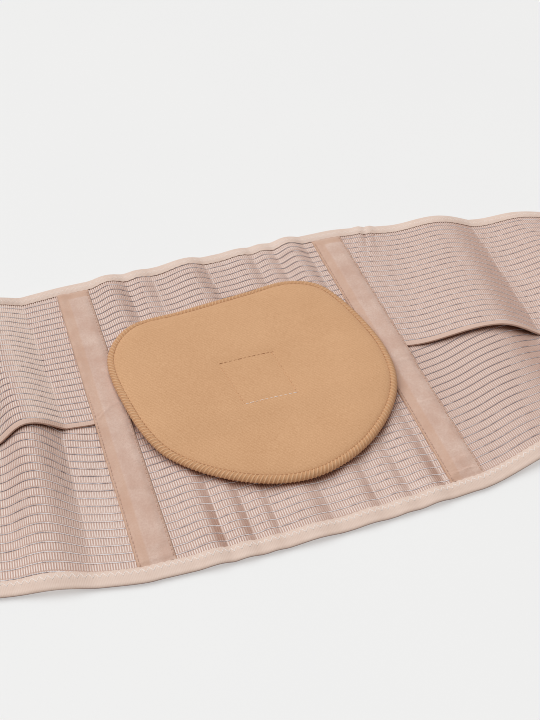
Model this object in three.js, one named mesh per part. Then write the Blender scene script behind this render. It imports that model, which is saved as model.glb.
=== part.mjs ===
// Lumbosacral brace, lying open on a table with its inner face up.
// Millimetres, +Z up. +X runs along the belt and +Y points to the upper edge of the back.
// The origin is on the table, under the middle of the back.
import * as THREE from 'three';

// Cloth and clearances
const CLOTH = 1.4; // ladder-knit elastic of the back and the bands
const TAPE = 1.0; // one layer of the fold-over binding
const GAP = 0.3; // between pieces that touch
const BINDING_GAP = 0.5; // the binding's two layers stand a little off the knit
const LAYER = CLOTH + GAP; // one knit layer lying on another
const TABLE_CLEARANCE = TAPE + BINDING_GAP; // the binding's under layer lies below the knit

// Back panel
const BACK_HALF_HEIGHT = 128; // middle of the back to the cut edge of the knit
const BOTTOM_BOW = 3; // the lower edge comes up this much from its middle to the seams
const PANEL_HALF_WIDTH = 94.2; // to the seam with the bands, under the stay casings
const PANEL_STEP = 5.2; // facet length across the flutes
const PANEL_ROWS = 7;
const BINDING_HOLD = 0.6; // share of a flute's height that the stretched bindings take out
const HOLD_START = 98; // distance from the middle where that sets in
const PANEL_STEP_LOW = -14; // above this the panel rises to the level of the upper bands
const PANEL_STEP_HIGH = 6;

// Bands: each side has two, which cross at a shallow angle, the upper one on top
const BAND_START = 94.8;
const BAND_END = 360;
const BAND_SLOPE = 0.215; // drop per millimetre along the belt
const SLOPE_START = 98;
const SLOPE_EASE = 6; // run over which the slope sets in
const UPPER_SELVEDGE = -2.3; // lower edge of the upper bands at the seam
const LEFT_SELVEDGE = -5.5; // the same on the left, where the upper band lies level at first
const LEVEL_REACH = 140;
const LEVEL_END = 330;
const LOWER_SELVEDGE = 4; // upper edge of the lower bands at the seam
const FOLDED_REACH = 268; // the folds that show lie inside this distance
const FOLDED_STEP = 7;
const FLAT_STEP = 15;
const BAND_ROWS = 5;

// Stay casings
const CASING_CENTRE = 94.5;
const CASING_BOTTOM = -115.9; // the ends stop at the bindings
const CASING_TOP = 118.9;
const CASING_STEP_LOW = -26; // it steps up here from the lower bands on to the upper ones
const CASING_STEP_HIGH = -6;
const CASING_ROWS = { below: 4, step: 3, above: 5 };

// Fold-over bindings
const BINDING_COVER = 8; // width that shows on each face
const BINDING_EDGE_GAP = 0.6;
const BINDING_ROLL = 0.8 * TAPE; // the tape thins where it rolls round the edge

// Lumbar pad
const PAD_SEAT = 7.5; // underside above the table
const PAD_TOP_RISE = 1.2; // the upper rim rides up on the flutes
const PAD_RISE_REACH = 80;
const PAD_SEGMENTS = 56;
const PAD_CENTRE = { x: 1, y: -6 };

// Hook patch between the pad and the panel, where the pad shows a sewn square
const PATCH = { left: -20, right: 19, bottom: -28, top: 12, steps: 6 };

// End panels and closure
const END_START = 344;
const END_LENGTH = 116;
const END_INNER_HALF_HEIGHT = 72;
const END_OUTER_HALF_HEIGHT = 58;
const END_CORNER = 24;
const END_THICKNESS = 2.6;
const END_LIFT_START = 300; // the bands rise from here to lie on the end panel
const CLOSURE = { start: 376, length: 70, height: 92, corner: 8, thickness: 1.8 };
const CORNER_SEGMENTS = 6;

// Upright flutes of the back panel: crest at the lower and upper edge, reach to its left and to its right at each
// edge, height of the crest low, midway and high, and how soft the foot of its right side is
const FLUTES = [
  [-61, -71, 13, 13, 11, 11, 3.6, 1.4, 6.0, 2],
  [-46, -49, 9, 9, 13, 13, 1.6, 0.7, 2.8, 2],
  [-4, -12, 18, 18, 12, 12, 3.6, 1.2, 7.0, 2],
  [29, 28, 12, 12, 8, 8, 2.0, 0.7, 2.8, 2],
  [51, 43, 8, 8, 9, 9, 1.2, 0.7, 2.8, 2],
  [71, 65, 13, 13, 9, 9, 3.6, 1.4, 6.5, 2],
];

// Waves of the bands, in the same columns
const UPPER_WAVES = [
  [-300, -300, 40, 40, 40, 40, 3, 3, 3, 2],
  [-228, -226, 36, 36, 40, 40, 7, 7, 4, 2],
  [-146, -158, 23, 30, 23, 28, 13, 13, 8, 1.2],
  [164, 179, 57, 36, 31, 25, 13, 9.5, 6, 1.1],
  [240, 240, 42, 32, 40, 40, 12, 11, 4.2, 2],
  [306, 308, 34, 34, 30, 30, 4, 4, 3, 2],
];
const LOWER_WAVES = [
  [-226, -228, 34, 34, 34, 34, 2, 4, 4, 2],
  [-150, -145, 26, 20, 21, 19, 4, 10.5, 11, 1.3],
  [152, 164, 42, 50, 40, 27, 2, 8, 9, 1.4],
  [238, 236, 34, 34, 36, 36, 3, 5, 5, 2],
];

// Section across a stay casing: distance from its middle, and thickness over the ridge of the stay
const CASING_SECTION = [
  { across: -11, thickness: 1.0 },
  { across: -8.6, thickness: 1.3 },
  { across: -6, thickness: 2.3 },
  { across: 0, thickness: 2.6 },
  { across: 6, thickness: 2.3 },
  { across: 8.6, thickness: 1.3 },
  { across: 11, thickness: 1.0 },
];

// Section round a binding, from its edge on the inner face to its edge on the outer face
const BINDING_SECTION = [
  { inward: BINDING_COVER, under: CLOTH + BINDING_GAP, over: CLOTH + BINDING_GAP + TAPE },
  { inward: -GAP, under: CLOTH + BINDING_GAP, over: CLOTH + BINDING_GAP + BINDING_ROLL },
  { inward: -BINDING_EDGE_GAP, under: CLOTH / 2, over: CLOTH / 2, beyond: TAPE },
  { inward: -GAP, under: -BINDING_GAP, over: -BINDING_GAP - BINDING_ROLL },
  { inward: BINDING_COVER, under: -BINDING_GAP, over: -BINDING_GAP - TAPE },
];

// Outline of the pad: a shield, blunt at the top and round at the bottom
const PAD_OUTLINE = [
  [19, 74.4], [48, 76.3], [67.5, 67.5], [79, 46], [88.5, -6], [81, -43.5], [46, -80.3],
  [5, -94.2], [-35.5, -81.5], [-73.5, -46.3], [-86, 2], [-85.5, 44.5], [-67, 66.2], [-30, 70.2],
];

// Section of the pad from the middle of its underside to the middle of its face
const PAD_SECTION = [
  { inset: 34, height: 0 },
  { inset: 3, height: 0 },
  { inset: 0.5, height: 1.0 },
  { inset: 0, height: 2.2 },
  { inset: 1, height: 3.5 },
  { inset: 5, height: 4.8 },
  { inset: 16, height: 6.0 },
  { inset: 40, height: 6.4 },
];

// Surfaces that the underside of each cloth follows

function ease(value, from, to) {
  return THREE.MathUtils.smoothstep(value, from, to);
}

function stations(from, to, step) {
  const count = Math.round((to - from) / step);
  return Array.from({ length: count + 1 }, (_, i) => THREE.MathUtils.lerp(from, to, i / count));
}

function waveHeight(waves, x, v) {
  const { lerp } = THREE.MathUtils;
  let height = 0;
  for (const [crestLow, crestHigh, leftLow, leftHigh, rightLow, rightHigh, low, mid, high, foot] of waves) {
    const offset = x - lerp(crestLow, crestHigh, v);
    const reach = offset < 0 ? -offset / lerp(leftLow, leftHigh, v) : offset / lerp(rightLow, rightHigh, v);
    if (reach < 1) {
      const ends = low * (1 - v) * (1 - 2 * v) + high * v * (2 * v - 1);
      const crestHeight = ends + mid * 4 * v * (1 - v);
      height += crestHeight * Math.cos(reach * Math.PI / 2) ** (offset < 0 ? 2 : foot);
    }
  }
  return height;
}

// How far the long edges have come in towards the middle of the belt
function drop(x) {
  const run = Math.max(0, Math.abs(x) - SLOPE_START);
  return BAND_SLOPE * (run - SLOPE_EASE * (1 - Math.exp(-run / SLOPE_EASE)));
}

// 1 where the upper band on the left lies level beside the back, falling to 0 towards its end
function liesLevel(x) {
  return x < 0 ? 1 - ease(-x, LEVEL_REACH, LEVEL_END) : 0;
}

function topEdge(x) {
  return BACK_HALF_HEIGHT - drop(x) * (1 - 0.6 * liesLevel(x));
}

function bottomEdge(x) {
  const towardsSeam = Math.min(1, Math.abs(x) / PANEL_HALF_WIDTH);
  return -BACK_HALF_HEIGHT + BOTTOM_BOW * towardsSeam ** 2 + drop(x);
}

function upperSelvedge(x) {
  const levelEdge = LEFT_SELVEDGE + 2 * ease(-x, 104, 126);
  return UPPER_SELVEDGE - drop(x) + liesLevel(x) * (levelEdge - UPPER_SELVEDGE + drop(x));
}

function lowerSelvedge(x) {
  return LOWER_SELVEDGE + drop(x);
}

function endLift(x) {
  return (END_THICKNESS + GAP) * ease(Math.abs(x), END_LIFT_START, END_START);
}

function panelSurface(x, y) {
  const v = (y + BACK_HALF_HEIGHT) / (2 * BACK_HALF_HEIGHT);
  const held = 1 - BINDING_HOLD * ease(Math.abs(y), HOLD_START, BACK_HALF_HEIGHT);
  const step = LAYER * ease(y, PANEL_STEP_LOW, PANEL_STEP_HIGH);
  return TABLE_CLEARANCE + step + held * waveHeight(FLUTES, x, v);
}

function upperSurface(x, y) {
  const low = upperSelvedge(x);
  const v = (y - low) / (topEdge(x) - low);
  return TABLE_CLEARANCE + LAYER + endLift(x) + waveHeight(UPPER_WAVES, x, v);
}

function lowerSurface(x, y) {
  const low = bottomEdge(x);
  const v = (y - low) / (lowerSelvedge(x) - low);
  return TABLE_CLEARANCE + endLift(x) + waveHeight(LOWER_WAVES, x, v);
}

// The casing lies on the upper bands above the overlap and on the lower bands below it
function casingSurface(x, y) {
  return TABLE_CLEARANCE + LAYER * ease(y, CASING_STEP_LOW, CASING_STEP_HIGH);
}

function topEdgeSurface(x, y) {
  return Math.abs(x) < PANEL_HALF_WIDTH ? panelSurface(x, y) : upperSurface(x, y);
}

function bottomEdgeSurface(x, y) {
  return Math.abs(x) < PANEL_HALF_WIDTH ? panelSurface(x, y) : lowerSurface(x, y);
}

function padUnderside(y) {
  return PAD_SEAT + PAD_TOP_RISE * (Math.max(0, y) / PAD_RISE_REACH) ** 2;
}

// A point at a height above a surface, measured square to it
function above(surface, x, y, height) {
  const reach = 0.5;
  const slopeX = (surface(x + reach, y) - surface(x - reach, y)) / (2 * reach);
  const slopeY = (surface(x, y + reach) - surface(x, y - reach)) / (2 * reach);
  const normal = new THREE.Vector3(-slopeX, -slopeY, 1).normalize();
  return new THREE.Vector3(x, y, surface(x, y)).addScaledVector(normal, height);
}

// Solids

function solid(points, triangles) {
  const geometry = new THREE.BufferGeometry();
  geometry.setAttribute('position', new THREE.Float32BufferAttribute(points.flatMap((p) => p.toArray()), 3));
  geometry.setIndex(triangles);
  geometry.computeVertexNormals();
  return geometry;
}

// A sheet with thickness: grid[i][j] holds a point on the under face and one on the over face
function slab(grid) {
  const rows = grid[0].length;
  const points = grid.flat().flatMap((cell) => [cell.under, cell.over]);
  const under = (i, j) => 2 * (i * rows + j);
  const over = (i, j) => under(i, j) + 1;
  const triangles = [];
  const quad = (a, b, c, d) => triangles.push(a, b, c, a, c, d);
  for (let i = 0; i + 1 < grid.length; i += 1) {
    for (let j = 0; j + 1 < rows; j += 1) {
      quad(over(i, j), over(i + 1, j), over(i + 1, j + 1), over(i, j + 1));
      quad(under(i, j), under(i, j + 1), under(i + 1, j + 1), under(i + 1, j));
    }
    quad(under(i, 0), under(i + 1, 0), over(i + 1, 0), over(i, 0));
    quad(under(i + 1, rows - 1), under(i, rows - 1), over(i, rows - 1), over(i + 1, rows - 1));
  }
  const last = grid.length - 1;
  for (let j = 0; j + 1 < rows; j += 1) {
    quad(under(0, j + 1), under(0, j), over(0, j), over(0, j + 1));
    quad(under(last, j), under(last, j + 1), over(last, j + 1), over(last, j));
  }
  return solid(points, triangles);
}

// A knit piece: its rows run along the belt, and one row lies under each binding's inner edge
function knitSheet(surface, xs, rowsAt) {
  return slab(xs.map((x) => rowsAt(x).map((y) => (
    { under: above(surface, x, y, 0), over: above(surface, x, y, CLOTH) }
  ))));
}

const panelStations = stations(-PANEL_HALF_WIDTH, PANEL_HALF_WIDTH, PANEL_STEP);
const rightStations = [
  ...stations(BAND_START, FOLDED_REACH, FOLDED_STEP),
  ...stations(FOLDED_REACH, BAND_END, FLAT_STEP).slice(1),
];
const leftStations = rightStations.map((x) => -x).reverse();

function rowsBetween(low, high, count) {
  return stations(low, high, (high - low) / count);
}

function backPanel() {
  return knitSheet(panelSurface, panelStations, (x) => {
    const [low, high] = [bottomEdge(x), topEdge(x)];
    return [low, ...rowsBetween(low + BINDING_COVER, high - BINDING_COVER, PANEL_ROWS), high];
  });
}

function upperBand(xs) {
  return knitSheet(upperSurface, xs, (x) => {
    const high = topEdge(x);
    return [...rowsBetween(upperSelvedge(x), high - BINDING_COVER, BAND_ROWS), high];
  });
}

function lowerBand(xs) {
  return knitSheet(lowerSurface, xs, (x) => {
    const low = bottomEdge(x);
    return [low, ...rowsBetween(low + BINDING_COVER, lowerSelvedge(x), BAND_ROWS)];
  });
}

function stayCasing(side) {
  const ys = [
    ...rowsBetween(CASING_BOTTOM, CASING_STEP_LOW, CASING_ROWS.below),
    ...rowsBetween(CASING_STEP_LOW, CASING_STEP_HIGH, CASING_ROWS.step).slice(1),
    ...rowsBetween(CASING_STEP_HIGH, CASING_TOP, CASING_ROWS.above).slice(1),
  ];
  return slab(CASING_SECTION.map(({ across, thickness }) => ys.map((y) => {
    const x = side * CASING_CENTRE + across;
    return {
      under: above(casingSurface, x, y, LAYER),
      over: above(casingSurface, x, y, LAYER + thickness),
    };
  })));
}

// Runs the length of the bands and the back; outward is 1 for the top edge and -1 for the bottom edge
function binding(outward, edge, surface) {
  const xs = [...leftStations, ...panelStations, ...rightStations];
  const section = outward > 0 ? BINDING_SECTION : BINDING_SECTION.toReversed();
  return slab(xs.map((x) => section.map(({ inward, under, over, beyond = 0 }) => ({
    under: above(surface, x, edge(x) - outward * inward, under),
    over: above(surface, x, edge(x) - outward * (inward - beyond), over),
  }))));
}

function lumbarPad() {
  const corners = PAD_OUTLINE.map(([x, y]) => new THREE.Vector3(x, y, 0));
  const outline = new THREE.CatmullRomCurve3(corners, true, 'centripetal').getSpacedPoints(PAD_SEGMENTS);
  outline.pop();
  outline.reverse();
  const centre = new THREE.Vector3(PAD_CENTRE.x, PAD_CENTRE.y, 0);
  const rings = PAD_SECTION.map(({ inset, height }) => outline.map((rim) => {
    const reach = rim.distanceTo(centre);
    const point = rim.clone().lerp(centre, inset / reach);
    return point.setZ(padUnderside(point.y) + height);
  }));
  const seat = padUnderside(PAD_CENTRE.y);
  const crown = seat + PAD_SECTION.at(-1).height;
  const points = [...rings.flat(), centre.clone().setZ(seat), centre.clone().setZ(crown)];
  const [bottomMiddle, topMiddle] = [points.length - 2, points.length - 1];
  const topRing = (rings.length - 1) * PAD_SEGMENTS;
  const triangles = [];
  for (let i = 0; i < PAD_SEGMENTS; i += 1) {
    const next = (i + 1) % PAD_SEGMENTS;
    triangles.push(bottomMiddle, next, i);
    triangles.push(topMiddle, topRing + i, topRing + next);
    for (let ring = 0; ring < topRing; ring += PAD_SEGMENTS) {
      triangles.push(ring + i, ring + next, ring + PAD_SEGMENTS + next);
      triangles.push(ring + i, ring + PAD_SEGMENTS + next, ring + PAD_SEGMENTS + i);
    }
  }
  return solid(points, triangles);
}

function hookPatch() {
  const xs = stations(PATCH.left, PATCH.right, (PATCH.right - PATCH.left) / PATCH.steps);
  const ys = stations(PATCH.bottom, PATCH.top, (PATCH.top - PATCH.bottom) / PATCH.steps);
  return slab(xs.map((x) => ys.map((y) => ({
    under: above(panelSurface, x, y, LAYER),
    over: new THREE.Vector3(x, y, padUnderside(y) - GAP),
  }))));
}

function plate(shape, depth) {
  return new THREE.ExtrudeGeometry(shape, { depth, bevelEnabled: false, curveSegments: CORNER_SEGMENTS });
}

// Two square corners at its inner end and two round ones at its outer end
function endPanel() {
  const end = END_LENGTH;
  const shape = new THREE.Shape();
  shape.moveTo(0, -END_INNER_HALF_HEIGHT);
  shape.lineTo(end - END_CORNER, -END_OUTER_HALF_HEIGHT);
  shape.quadraticCurveTo(end, -END_OUTER_HALF_HEIGHT, end, -END_OUTER_HALF_HEIGHT + END_CORNER);
  shape.lineTo(end, END_OUTER_HALF_HEIGHT - END_CORNER);
  shape.quadraticCurveTo(end, END_OUTER_HALF_HEIGHT, end - END_CORNER, END_OUTER_HALF_HEIGHT);
  shape.lineTo(0, END_INNER_HALF_HEIGHT);
  return plate(shape, END_THICKNESS);
}

function hookClosure() {
  const { length, height, corner, thickness } = CLOSURE;
  const [right, top] = [length - corner, height / 2 - corner];
  const shape = new THREE.Shape();
  shape.absarc(right, top, corner, 0, Math.PI / 2);
  shape.absarc(corner, top, corner, Math.PI / 2, Math.PI);
  shape.absarc(corner, -top, corner, Math.PI, 1.5 * Math.PI);
  shape.absarc(right, -top, corner, 1.5 * Math.PI, 2 * Math.PI);
  return plate(shape, thickness);
}

// Materials, one for each kind of cloth

function cloth(color, roughness) {
  return new THREE.MeshStandardMaterial({ color, roughness, metalness: 0 });
}

const ladderKnit = cloth('#dcc0b0', 0.75);
const brushedTricot = cloth('#cdae9f', 0.9);
const foldOverElastic = cloth('#e0c5b6', 0.8);
const laminatedFoam = cloth('#d3a67c', 0.9);
const hookTape = cloth('#dfc9ba', 0.6);
const loopPlush = cloth('#d6b9a8', 0.95);

// Assembly

function piece(name, geometry, material) {
  const mesh = new THREE.Mesh(geometry, material);
  mesh.name = name;
  return mesh;
}

const belt = new THREE.Group();
belt.add(
  piece('back_panel', backPanel(), ladderKnit),
  piece('upper_band_left', upperBand(leftStations), ladderKnit),
  piece('upper_band_right', upperBand(rightStations), ladderKnit),
  piece('lower_band_left', lowerBand(leftStations), ladderKnit),
  piece('lower_band_right', lowerBand(rightStations), ladderKnit),
  piece('stay_casing_left', stayCasing(-1), brushedTricot),
  piece('stay_casing_right', stayCasing(1), brushedTricot),
  piece('binding_top', binding(1, topEdge, topEdgeSurface), foldOverElastic),
  piece('binding_bottom', binding(-1, bottomEdge, bottomEdgeSurface), foldOverElastic),
);

const pad = new THREE.Group();
pad.add(
  piece('lumbar_pad', lumbarPad(), laminatedFoam),
  piece('pad_hook_patch', hookPatch(), hookTape),
);

const ends = new THREE.Group();
const endRight = piece('end_panel_right', endPanel(), loopPlush);
endRight.position.x = END_START;
const endLeft = piece('end_panel_left', endPanel(), loopPlush);
endLeft.position.set(-END_START, 0, END_THICKNESS);
endLeft.rotation.y = Math.PI;
const closure = piece('hook_closure', hookClosure(), hookTape);
closure.position.set(CLOSURE.start, 0, END_THICKNESS + GAP);
ends.add(endRight, endLeft, closure);

const brace = new THREE.Group();
brace.add(belt, pad, ends);

export default brace;
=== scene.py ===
import math

import bpy
import numpy as np
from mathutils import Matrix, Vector


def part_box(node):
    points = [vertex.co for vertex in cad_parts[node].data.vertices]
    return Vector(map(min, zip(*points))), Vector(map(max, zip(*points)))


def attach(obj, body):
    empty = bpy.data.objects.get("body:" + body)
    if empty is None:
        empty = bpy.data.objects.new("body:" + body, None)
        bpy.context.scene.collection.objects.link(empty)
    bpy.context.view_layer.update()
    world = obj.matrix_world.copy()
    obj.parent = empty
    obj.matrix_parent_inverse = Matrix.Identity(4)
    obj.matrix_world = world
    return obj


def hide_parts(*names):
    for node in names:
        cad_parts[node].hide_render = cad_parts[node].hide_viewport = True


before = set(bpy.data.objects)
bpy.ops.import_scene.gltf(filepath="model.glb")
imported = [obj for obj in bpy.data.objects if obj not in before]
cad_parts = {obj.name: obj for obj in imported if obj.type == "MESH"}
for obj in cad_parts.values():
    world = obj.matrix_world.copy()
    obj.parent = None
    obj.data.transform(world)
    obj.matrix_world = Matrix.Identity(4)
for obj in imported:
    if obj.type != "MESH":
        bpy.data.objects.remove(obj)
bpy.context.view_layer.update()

# Table, light and camera
# A white table under soft daylight from behind and from the left, seen from the photograph's viewpoint with a
# 54 mm lens. Every size in this script is in millimetres, and MM turns it into Blender's metres.
MM = 0.001
scene = bpy.context.scene
scene.view_settings.view_transform = "Standard"
scene.cycles.filter_width = 1.0


def linear(code):
    """The linear colour that shaders take, from an sRGB hex code."""
    parts = [int(code[i:i + 2], 16) / 255 for i in (1, 3, 5)]
    return [p / 12.92 if p <= 0.04045 else ((p + 0.055) / 1.055) ** 2.4 for p in parts] + [1.0]


def add(tree, kind, inputs=(), **settings):
    """Adds a node with its settings, and sets or links its inputs."""
    node = tree.nodes.new(kind)
    for name, value in settings.items():
        setattr(node, name, value)
    for key, value in dict(inputs).items():
        if isinstance(value, bpy.types.NodeSocket):
            tree.links.new(value, node.inputs[key])
        else:
            node.inputs[key].default_value = value
    return node


def bare_material(name):
    """A new material with an empty node tree."""
    made = bpy.data.materials.new(name)
    made.use_nodes = True
    made.node_tree.nodes.clear()
    return made, made.node_tree


# White laminate: nearly even. About half of its light is its own, as if the whole room were as bright, so the
# eye reads only faint, soft shadows on it.
table_white, tree = bare_material("table_white")
place = add(tree, "ShaderNodeTexCoord").outputs["Object"]
cloudy = add(tree, "ShaderNodeTexNoise", {"Vector": place, "Scale": 4.0, "Detail": 2.0})
tint = add(tree, "ShaderNodeMix", {0: cloudy.outputs["Fac"], 6: linear("#F3F3F3"), 7: linear("#F6F6F5")},
           data_type="RGBA")
dimmed = add(tree, "ShaderNodeMix", {0: 0.5, 6: tint.outputs[2], 7: linear("#000000")}, data_type="RGBA")
skin = add(tree, "ShaderNodeBsdfPrincipled",
           {"Base Color": dimmed.outputs[2], "Roughness": 0.55, "Specular IOR Level": 0.2,
            "Emission Color": tint.outputs[2], "Emission Strength": 0.47})
add(tree, "ShaderNodeOutputMaterial", {"Surface": skin.outputs[0]})

TABLE_REACH = 4000
TABLE_GAP = 0.2
corners = [(-1, -1), (1, -1), (1, 1), (-1, 1)]
table_mesh = bpy.data.meshes.new("table")
table_mesh.from_pydata([(x * TABLE_REACH * MM, y * TABLE_REACH * MM, -TABLE_GAP * MM) for x, y in corners],
                       [], [(0, 1, 2, 3)])
table_mesh.materials.append(table_white)
table = bpy.data.objects.new("table", table_mesh)
scene.collection.objects.link(table)

window = bpy.data.lights.new("window_light", "SUN")
window.energy = 2.3
window.color = (0.92, 0.97, 1.0)
window.angle = math.radians(70)
window_holder = bpy.data.objects.new("window_light", window)
window_holder.rotation_euler = Vector((0.28, -0.30, -0.91)).to_track_quat("-Z", "Y").to_euler()
scene.collection.objects.link(window_holder)

scene.world = bpy.data.worlds.new("bright_room")
scene.world.use_nodes = True
scene.world.node_tree.nodes["Background"].inputs["Color"].default_value = linear("#FFF2E9")
scene.world.node_tree.nodes["Background"].inputs["Strength"].default_value = 0.33

lens = bpy.data.cameras.new("camera")
lens.lens = 54
lens.sensor_width = 36
camera = bpy.data.objects.new("camera", lens)
camera.location = (-0.1466, -0.46375, 0.5008)
camera.rotation_euler = (math.radians(45.4), 0, math.radians(-18.73))
scene.collection.objects.link(camera)
scene.camera = camera

# Back panel
# The middle of the back is one piece of ladder-knit elastic: covered rubber ribs stand in rows on a thin
# ground, with a glossy thread between each two rows. The bindings draw it in, so its slack stands up as
# upright flutes.
CLOTH = 1.4
GROUND = 1.15
GAP = 0.3
LAYER = CLOTH + GAP
TABLE_CLEARANCE = 1.5
BACK_HALF_HEIGHT = 128
BOTTOM_BOW = 3
PANEL_HALF_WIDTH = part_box("back_panel")[1].x / MM
PANEL_STEP_LOW = -14
PANEL_STEP_HIGH = 6
BINDING_COVER = 8
BINDING_HOLD = 0.6
HOLD_START = 108
SLOPE = 0.215
SLOPE_START = 98
SLOPE_EASE = 6
LEVEL_REACH = 140
LEVEL_END = 330
LEVEL_SHARE = 0.6
ROW = 5.6
RIB = 1.42
RIB_LENGTH = 5.2
RIB_SINK = 0.1
THREAD = 0.4
THREAD_SINK = 0.12
# Crest, reach to its left and reach to its right at the lower and at the upper edge, height of the crest low,
# midway and high, and how soft the foot of its right side is
FLUTES = (
    (-62, -69, 14, 14, 8.5, 11.5, 3.6, 1.4, 6.0, 1.2),
    (-45.5, -47, 9, 9, 8, 9, 2.8, 0.7, 2.8, 1.2),
    (-29, -26, 6, 6, 6, 6, 1.6, 0.4, 0.0, 1.2),
    (-4, -11, 20, 24, 14, 12, 3.6, 1.2, 7.0, 1.2),
    (29, 28.5, 14, 16, 9, 8, 2.4, 0.7, 3.0, 1.2),
    (51, 45, 8, 8, 7.5, 7.5, 1.8, 0.7, 2.8, 1.2),
    (71, 65, 12, 12, 9, 11, 3.4, 1.4, 6.5, 1.2),
)


def ease(value, low, high):
    """A smooth step from 0 at low to 1 at high."""
    part = np.clip((value - low) / (high - low), 0, 1)
    return part * part * (3 - 2 * part)


def wave_height(waves, x, v):
    """Height of the folds at x, with v from 0 at the cloth's lower edge to 1 at its upper edge.

    Each fold rises gently from its left and drops into a sharp valley on its right.
    """
    height = 0
    for crest_low, crest_high, left_low, left_high, right_low, right_high, low, mid, high, foot in waves:
        offset = x - crest_low - (crest_high - crest_low) * v
        left = left_low + (left_high - left_low) * v
        right = right_low + (right_high - right_low) * v
        reach = np.minimum(np.abs(offset) / np.where(offset < 0, left, right), 1)
        crest = low * (1 - v) * (1 - 2 * v) + high * v * (2 * v - 1) + mid * 4 * v * (1 - v)
        height = height + crest * np.cos(reach * math.pi / 2) ** np.where(offset < 0, 2, foot)
    return height


def drop(x):
    """How far the long edges have come in towards the middle of the belt."""
    run = np.maximum(0, np.abs(x) - SLOPE_START)
    return SLOPE * (run - SLOPE_EASE * (1 - np.exp(-run / SLOPE_EASE)))


def lies_level(x):
    """1 where the upper band on the left lies level beside the back, falling to 0 towards its end."""
    return np.where(x < 0, 1 - ease(-x, LEVEL_REACH, LEVEL_END), 0)


def top_edge(x):
    return BACK_HALF_HEIGHT - drop(x) * (1 - LEVEL_SHARE * lies_level(x))


def bottom_edge(x):
    bow = BOTTOM_BOW * np.minimum(1, np.abs(x) / PANEL_HALF_WIDTH) ** 2
    return -BACK_HALF_HEIGHT + bow + drop(x)


def panel_surface(x, y):
    v = (y + BACK_HALF_HEIGHT) / (2 * BACK_HALF_HEIGHT)
    held = 1 - BINDING_HOLD * ease(np.abs(y), HOLD_START, BACK_HALF_HEIGHT)
    step = LAYER * ease(y, PANEL_STEP_LOW, PANEL_STEP_HIGH)
    return TABLE_CLEARANCE + step + held * wave_height(FLUTES, x, v)


def square_to(surface, x, y):
    """The surface's unit normals."""
    slope_x = surface(x + 0.5, y) - surface(x - 0.5, y)
    slope_y = surface(x, y + 0.5) - surface(x, y - 0.5)
    normal = np.stack([-slope_x, -slope_y, np.ones_like(slope_x)], -1)
    return normal / np.linalg.norm(normal, axis=-1, keepdims=True)


def above(surface, x, y, height):
    """Points over a surface, at a height measured square to it."""
    x, y, height = np.broadcast_arrays(np.asarray(x, float), y, height)
    return np.stack([x, y, surface(x, y)], -1) + square_to(surface, x, y) * height[..., None]


def new_piece(name, points, faces, material, flat):
    """A smooth mesh object. flat holds each point's place on the cloth, for materials that follow it."""
    mesh = bpy.data.meshes.new(name)
    mesh.from_pydata(points * MM, [], faces)
    corner_points = np.empty(len(mesh.loops), int)
    mesh.loops.foreach_get("vertex_index", corner_points)
    mesh.uv_layers.new(name="flat").data.foreach_set("uv", flat[corner_points].ravel())
    mesh.shade_smooth()
    mesh.set_sharp_from_angle(angle=math.radians(50))
    mesh.materials.append(material)
    piece = bpy.data.objects.new(name, mesh)
    scene.collection.objects.link(piece)
    return piece


def slab(name, under, over, material, flat):
    """A closed sheet between two grids of points, which run along the belt and then across it."""
    columns, rows = over.shape[:2]
    top = columns * rows
    at = np.arange(top).reshape(columns, rows)
    quads = np.stack([at[:-1, :-1], at[1:, :-1], at[1:, 1:], at[:-1, 1:]], -1).reshape(-1, 4)
    rim = np.concatenate([at[:-1, 0], at[-1, :-1], at[:0:-1, -1], at[0, :0:-1]])
    following = np.roll(rim, -1)
    walls = np.stack([rim, following, following + top, rim + top], -1)
    faces = np.concatenate([quads + top, quads[:, ::-1], walls])
    points = np.concatenate([under.reshape(-1, 3), over.reshape(-1, 3)])
    return new_piece(name, points, faces.tolist(), material, np.concatenate([flat.reshape(-1, 2)] * 2))


def mark(mesh, name, values):
    """Stores a number or a direction at each point of a mesh, for a material or a node tree to read."""
    kind, field = ("FLOAT", "value") if np.ndim(values) == 1 else ("FLOAT_VECTOR", "vector")
    mesh.attributes.new(name, kind, "POINT").data.foreach_set(field, np.ravel(values))


def new_tree(name, sizes):
    """A geometry node tree that takes geometry, named sizes and a material."""
    tree = bpy.data.node_groups.new(name, "GeometryNodeTree")
    tree.interface.new_socket("Geometry", in_out="INPUT", socket_type="NodeSocketGeometry")
    for size in sizes:
        tree.interface.new_socket(size, in_out="INPUT", socket_type="NodeSocketFloat")
    tree.interface.new_socket("Material", in_out="INPUT", socket_type="NodeSocketMaterial")
    tree.interface.new_socket("Geometry", in_out="OUTPUT", socket_type="NodeSocketGeometry")
    return tree


# Lays a small bar on every point: its length follows the "along" vector and its top the "facing" vector.
HALF_DIAGONAL = 0.5 ** 0.5
bar_tree = new_tree("bars_on_points", ("Length", "Width", "Height", "Spread"))
given = add(bar_tree, "NodeGroupInput").outputs
facing = add(bar_tree, "GeometryNodeInputNamedAttribute", {"Name": "facing"}, data_type="FLOAT_VECTOR")
along = add(bar_tree, "GeometryNodeInputNamedAttribute", {"Name": "along"}, data_type="FLOAT_VECTOR")
turn = add(bar_tree, "FunctionNodeAxesToRotation", {0: facing.outputs[0], 1: along.outputs[0]},
           primary_axis="Z", secondary_axis="X")
bar = add(bar_tree, "GeometryNodeMeshCone",
          {"Vertices": 4, "Radius Top": 0.7 * HALF_DIAGONAL, "Radius Bottom": HALF_DIAGONAL, "Depth": 1.0},
          fill_type="NGON")
square_bar = add(bar_tree, "GeometryNodeTransform",
                 {"Geometry": bar.outputs["Mesh"], "Rotation": (0, 0, math.radians(45))})
bar_place = add(bar_tree, "ShaderNodeSeparateXYZ", {0: add(bar_tree, "GeometryNodeInputPosition").outputs[0]})
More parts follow.
